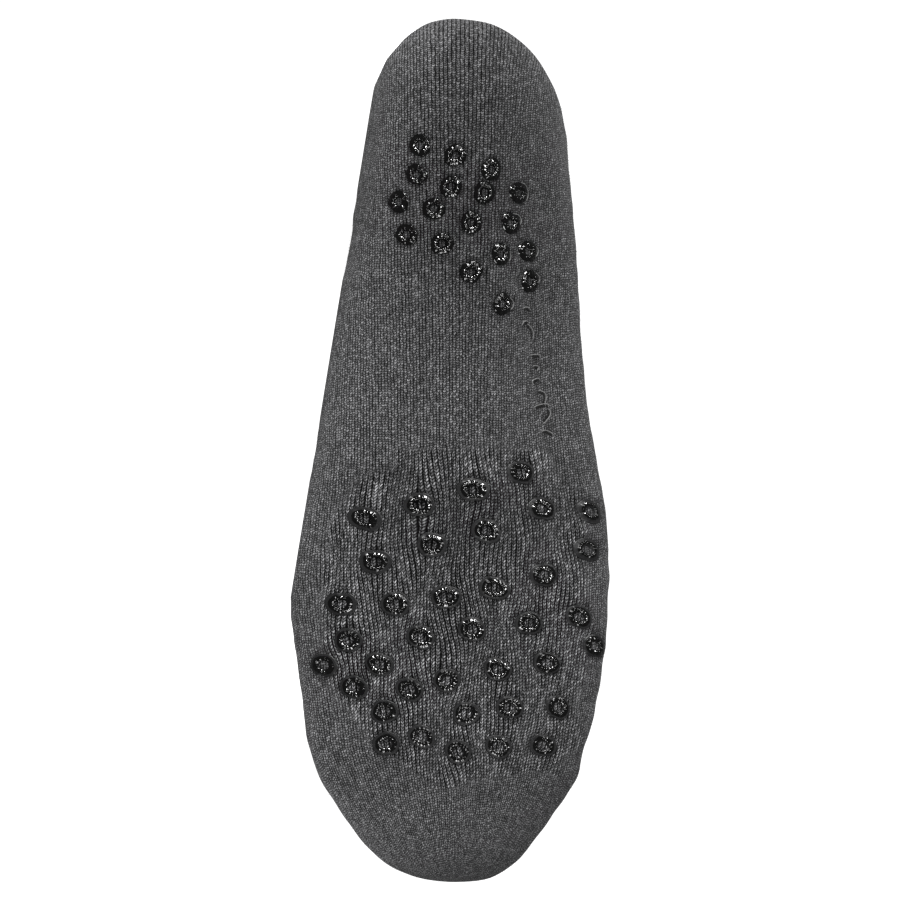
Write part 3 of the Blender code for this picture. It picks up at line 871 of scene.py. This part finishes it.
def inside(knit, world, normals):
    """The knit's inside, WALL below its outside, up to the cuff."""
    rows = [0] + list(range(4, len(world), 3)) + [len(world) - 1]
    inner = (world - normals * WALL)[rows][:, ::2]
    columns = inner.shape[1]
    wales = plain_wales(np.arange(columns + 1) / columns * FINE_WALES, len(rows))
    step = np.linalg.norm(np.diff(inner, axis=0), axis=2)
    course = np.concatenate([np.zeros((1, columns)), np.cumsum(step, axis=0)]) / COURSE
    # painted shade on the whole inside
    numbers = plain_numbers(course, np.full_like(course, INSIDE_SHADE))
    facing = -normals[rows][:, ::2]
    return grid_piece("knit_inside", inner, facing, numbers, wales, knit, flip=True, tip=True)


def knit_surface(world):
    """The outside as a tree for ray casts."""
    rows, columns = world.shape[:2]
    points = [Vector(p) for p in world.reshape(-1, 3).tolist()]
    return BVHTree.FromPolygons(points, closed_grid(rows, columns, 1).tolist())


def on_sole(surface, pixel):
    """(point, normal) of the knit under a place in the photo."""
    ahead, side = turned(*foot_place(pixel), ANGLE)
    below = Vector((ahead, -INSTEP_HEIGHT, side)) - Vector(SHIFT)
    return surface.ray_cast(below, Vector((0, 1, 0)))[:2]


def strip(points, normals, wide, highs):
    """(points, faces) of a soft raised line along a path. wide is half its width."""
    points, normals = np.asarray(points, float), np.asarray(normals, float)
    way = np.gradient(points, axis=0)
    side = np.cross(way, normals)
    side /= np.linalg.norm(side, axis=1, keepdims=True)
    profile = [(-1.0, -0.3), (-0.7, 0.6), (0.0, 1.0), (0.7, 0.6), (1.0, -0.3)]
    rows = [points + side * wide * u + normals * (highs * v)[:, None] for u, v in profile]
    flat = np.stack(rows, axis=1).reshape(-1, 3)
    count = len(profile)
    faces = []
    for i in range(len(points) - 1):
        for j in range(count - 1):
            first = i * count + j
            faces.append((first, first + 1, first + count + 1, first + count))
    return flat, faces


def raised_lines(name, surface, marks, inward, wide, high, material):
    """Lines along the marks' arcs as one mesh, drawn inward by that many pixels of the photo."""
    points, faces = [], []
    for mark in marks:
        turns = np.radians(np.linspace(mark.start, mark.end, 16))
        wobble = 1 + 0.10 * np.sin(3 * turns + mark.x)
        path = [
            on_sole(surface, (mark.x + r * math.cos(t), mark.y + r * math.sin(t)))
            for t, r in zip(turns, mark.radius * wobble - inward)
        ]
        highs = high * np.sin(np.linspace(0.2, math.pi - 0.2, len(path)))
        made, joined = strip([p for p, _ in path], [n for _, n in path], wide, highs)
        faces += [tuple(v + len(points) for v in face) for face in joined]
        points += made.tolist()
    return make_object(name, points, faces, material)


def toe_seam(grid, world, normals, yarn):
    """The lumpy seam that closes the toe, over the top from side to side."""
    row = np.argmin(np.abs(grid[:SOLE_ROWS, AROUND // 2, 0] - TOE_SEAM_ALONG * FOOT_LENGTH))
    start, end = [int(share * AROUND) for share in TOE_SEAM_REACH]
    columns = np.arange(start, end + 1)
    finer = np.linspace(start, end, 4 * len(columns))
    path, outward = [
        np.stack([np.interp(finer, columns, values[row, columns, k]) for k in range(3)], axis=1)
        for values in (world, normals)
    ]
    lumps = np.abs(np.sin(finer * 1.9)) ** 0.7 * (0.75 + 0.25 * np.sin(finer * 0.83))
    fade = smooth_step(np.minimum(finer - start, end - finer) / 6)
    highs = (SEAM_HEIGHT + SEAM_LUMPS * lumps) * fade
    return make_object("toe_seam", *strip(path, outward, SEAM_HALF_WIDTH, highs), yarn)


def nap(world, normals, yarn):
    """Short loose fibres standing off the knit, as thin bent ribbons in one mesh."""
    random = np.random.default_rng(8)
    rows = random.integers(3, len(world) - 2, NAP_FIBRES)
    columns = random.integers(0, AROUND, NAP_FIBRES)
    start, after = world[rows, columns], world[rows + 1, columns]
    roots = start + (after - start) * random.random((NAP_FIBRES, 1))
    out = normals[rows, columns]
    lean = random.normal(size=(NAP_FIBRES, 3))
    lean -= out * (lean * out).sum(1, keepdims=True)
    lean /= np.linalg.norm(lean, axis=1, keepdims=True)
    across = np.cross(out, lean) * NAP_HALF_WIDTH
    length = random.uniform(*NAP_LENGTH, (NAP_FIBRES, 1))
    middle = roots + length * (0.50 * out + 0.22 * lean)
    tip = roots + length * (0.75 * out + 0.70 * lean)
    points = [roots - across, roots + across, middle - across, middle + across, tip]
    points = np.stack(points, axis=1)
    points[..., 2] = np.maximum(points[..., 2], 0.0)
    first = np.arange(NAP_FIBRES)[:, None] * 5
    quads = (first + [0, 1, 3, 2]).tolist()
    tips = (first + [2, 3, 4]).tolist()
    return make_object("nap", points.reshape(-1, 3), quads + tips, yarn)


def ring_for(pixel, diameter, shape):
    """(diameter, shape) of one ring. Under the ball, those nearer the arch are wider, those nearer
    the toes are flatter, and those at the inner edge are grey."""
    x, y = pixel
    if diameter != BALL_RING_DIAMETER:
        return diameter, shape
    near = 1 - smooth_step((y - 540) / 150)
    aside = near * smooth_step((235 - x) / 50)
    flat = smooth_step((y - 640) / 80)
    return diameter * (1 + 0.07 * near + 0.06 * aside), shape._replace(
        wider=shape.wider + 0.05 * near + 0.07 * aside,
        black=0.8 if x > 400 and y < 560 else shape.black * (1 - 0.30 * flat),
        bead_high=shape.bead_high * (1 - 0.40 * flat),
        lump=shape.lump * (1 - 0.7 * flat),
    )


def ring_grid(surface, pixel, diameter, shape, random):
    """(points, film shares) of one printed ring laid on the knit."""
    middle, out = on_sole(surface, pixel)
    facing = (out + Vector((0, -shape.lean, 0))).normalized()
    side = facing.cross(Vector((1, 0, 0))).normalized()
    ahead = side.cross(facing)
    angle = np.arange(RING_TURNS) * 2 * math.pi / RING_TURNS
    rim = np.ones(RING_TURNS)
    crest = np.ones(RING_TURNS)
    for lobes, rim_part, crest_part in LOBES:
        phase, other = random.uniform(0, 2 * math.pi, 2)
        rim += rim_part * np.sin(lobes * angle + phase)
        crest += crest_part * np.sin(lobes * angle + other)
    rim *= 1 - shape.wider * np.cos(2 * angle)
    lump, lump_at = math.radians(225 + random.uniform(-35, 35)), diameter * 0.40
    points = []
    films = []
    for step in range(RING_STEPS):
        share = step / (RING_STEPS - 1)
        radius = shape.hole + (diameter / 2 - shape.hole) * share
        wide = shape.inner_wide if radius < shape.bead_at else shape.outer_wide
        bead = math.exp(-(((radius - shape.bead_at) / wide) ** 2))
        edge = smooth_step(share / 0.10) * smooth_step((1 - share) / 0.10)
        films += [1 - smooth_step(bead * shape.black)] * RING_TURNS
        for turn in range(RING_TURNS):
            r = radius * rim[turn]
            above = middle + ahead * (r * math.cos(angle[turn]))
            above = above + side * (r * math.sin(angle[turn]))
            start = above + facing * (4 * RING_HEIGHT)
            hit = surface.ray_cast(start, -facing, 8 * RING_HEIGHT)[0] or above
            away = (r * math.cos(angle[turn] - lump) - lump_at) ** 2
            away += (r * math.sin(angle[turn] - lump)) ** 2
            drop = shape.lump * math.exp(-away / LUMP_REACH**2)
            high = edge * (shape.film + bead * crest[turn] * shape.bead_high + drop)
            points.append(hit + out * (high - RING_ROOT * (1 - edge)))
    return points, films


def grip_rings(name, pixels, diameter, shape, surface, rubber, seed):
    """The rings of one zone as one mesh."""
    random = np.random.default_rng(seed)
    points, films, faces = [], [], []
    quads = closed_grid(RING_STEPS, RING_TURNS)[:, [0, 3, 2, 1]]
    for pixel in pixels:
        faces += (quads + len(points)).tolist()
        ring, film = ring_grid(surface, pixel, *ring_for(pixel, diameter, shape), random)
        points += ring
        films += film
    made = make_object(name, [tuple(p) for p in points], faces, rubber[0])
    made.data.materials.append(rubber[1])
    films = np.array(films)[np.array(faces)].mean(axis=1)
    made.data.polygons.foreach_set("material_index", (films > 0.5).astype(int).tolist())
    return made


def add_light(row):
    light = bpy.data.lights.new(row.name, "AREA")
    light.shape = "DISK"
    light.size = row.size
    light.energy = row.power
    made = add_object(row.name, light)
    made.location = row.place
    way = Vector(LIT_POINT) - Vector(row.place)
    made.rotation_euler = way.to_track_quat("-Z", "Y").to_euler()
    made.visible_glossy = row.glossy


def stage():
    """Floor and backdrop as one pale sheet, and soft light."""
    pale, _, shader = new_material("studio_white", (0.40, 0.40, 0.40), 0.9, 0.0)
    shader.inputs["Emission Color"].default_value = (1.0, 1.0, 1.0, 1.0)
    shader.inputs["Emission Strength"].default_value = SHEET_GLOW
    turns = np.linspace(0, math.pi / 2, 16)
    bend = [(SHEET_BEND + math.sin(t), 1 - math.cos(t)) for t in turns]
    profile = [(-SHEET_SIDE, 0.0)] + bend + [(SHEET_BEND + 1, SHEET_TOP)]
    points = [(x, y, z) for x in (-SHEET_SIDE, SHEET_SIDE) for y, z in profile]
    count = len(profile)
    faces = [(count + i, count + i + 1, i + 1, i) for i in range(count - 1)]
    sheet = make_object("studio_sheet", points, faces, pale)
    sheet.visible_glossy = False
    world = bpy.data.worlds.new("studio")
    world.use_nodes = True
    background = world.node_tree.nodes["Background"]
    background.inputs["Color"].default_value = (1.0, 1.0, 1.0, 1.0)
    background.inputs["Strength"].default_value = WORLD_LIGHT
    bpy.context.scene.world = world
    bpy.context.scene.view_settings.view_transform = "Standard"
    for row in LIGHTS:
        add_light(row)


def add_camera():
    """The photo's camera: straight at the sole, with the heel at the top."""
    ahead, side = turned(*foot_place(PHOTO_MIDDLE), ANGLE)
    middle = Vector((ahead - SHIFT[0], -SHIFT[1], side - SHIFT[2]))
    down = Vector((math.cos(ANGLE), 0.0, math.sin(ANGLE)))
    right = Vector((-math.sin(ANGLE), 0.0, math.cos(ANGLE)))
    look = Vector((0.0, 1.0, 0.0))
    camera = add_object("camera", bpy.data.cameras.new("camera"))
    camera.data.sensor_width = SENSOR
    camera.data.lens = LENS_TRIM * SENSOR * CAMERA_DISTANCE / (FRAME_PIXELS * PIXEL)
    camera.data.clip_end = 50.0
    turn = Matrix((right, -down, -look)).transposed()
    camera.matrix_world = Matrix.Translation(middle - look * CAMERA_DISTANCE) @ turn.to_4x4()
    bpy.context.scene.camera = camera


def main():
    stage()
    add_camera()
    knit = knit_material()
    rubber = [
        rubber_material("black_silicone", (0.0006, 0.0006, 0.0006), 0.15, 0.55, 0.00006),
        rubber_material("black_silicone_film", (0.010, 0.010, 0.0103), 0.40, 0.20, 0.00010),
    ]
    grey = yarn_material("grey_yarn", 0.020, 0.095)
    # yarn for painted shadows
    shadow_yarn = yarn_material("painted_shadow_yarn", 0.001, 0.016)
    pale = yarn_material("pale_yarn", 0.030, 0.170)
    pieces, grid, world, normals = outside(knit)
    pieces += [cuff(knit), inside(knit, world, normals)]
    surface = knit_surface(world)
    for name, marks, inward, wide, high, yarn in (
        ("marks", MARKS, 0.0, 0.00019, 0.00036, pale),
        # dark lines of painted shadow beside the marks
        ("mark_painted_shadows", MARKS, 2.0, 0.00042, 0.00016, shadow_yarn),
        ("faint_marks", FAINT_MARKS, 0.0, 0.00016, 0.00022, grey),
        # pale lines of painted highlight on ring edges
        ("painted_ring_highlights", PAINTED_RIM_HIGHLIGHTS, 0.0, 0.00016, 0.00040, pale),
    ):
        pieces.append(raised_lines(name, surface, marks, inward, wide, high, yarn))
    pieces += [toe_seam(grid, world, normals, grey), nap(world, normals, grey)]
    for piece in pieces:
        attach(piece, "root")
        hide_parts("sock_knit")
    for zone, pixels, diameter, shape, seed in (
        ("heel", HEEL_RINGS, HEEL_RING_DIAMETER, HEEL_SHAPE, 3),
        ("ball", BALL_RINGS, BALL_RING_DIAMETER, BALL_SHAPE, 4),
    ):
        rings = grip_rings(f"rings_{zone}", pixels, diameter, shape, surface, rubber, seed)
        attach(rings, "root")
        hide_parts(*[f"grip_{zone}_{n:02d}" for n in range(1, len(pixels) + 1)])


main()
